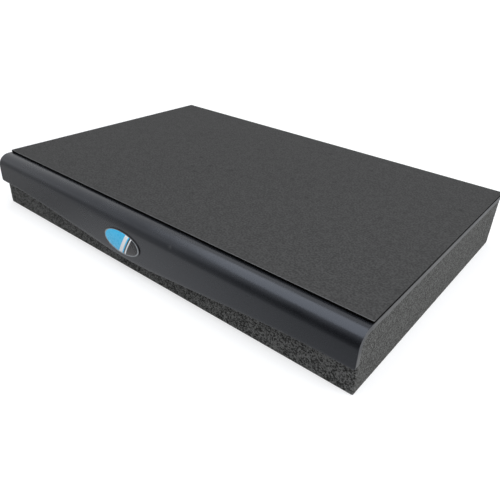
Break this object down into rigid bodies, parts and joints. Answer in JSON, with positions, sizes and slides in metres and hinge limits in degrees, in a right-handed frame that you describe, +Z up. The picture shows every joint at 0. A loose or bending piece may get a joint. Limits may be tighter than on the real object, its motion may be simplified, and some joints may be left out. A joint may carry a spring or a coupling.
{
  "type": "speaker isolation pad",
  "caption": "Low rectangular speaker isolation pad: dense foam block under a steel plate with a rounded, arched front lip, a thin rubber top sheet and a small oval badge.",
  "frame": {"origin": "middle of the overall box, badge included, on the surface that the pad stands on", "axes": "+Z up; -Y towards the front lip; +X along the lip, to the right as seen from the front"},
  "size_m": [0.387, 0.259, 0.0513],
  "materials": {
    "foam": "open-cell charcoal foam, matt, with visible pores",
    "powder_coat": "semi-gloss charcoal powder coat",
    "rubber_sheet": "matt dark grey sheet with a fine grain",
    "badge": "glossy domed oval, blue and charcoal with a pale rim"
  },
  "bodies": {
    "root": {"foam_base": "foam", "steel_plate": "powder_coat", "rubber_top": "rubber_sheet", "front_badge": "badge"}
  },
  "joints": []
}
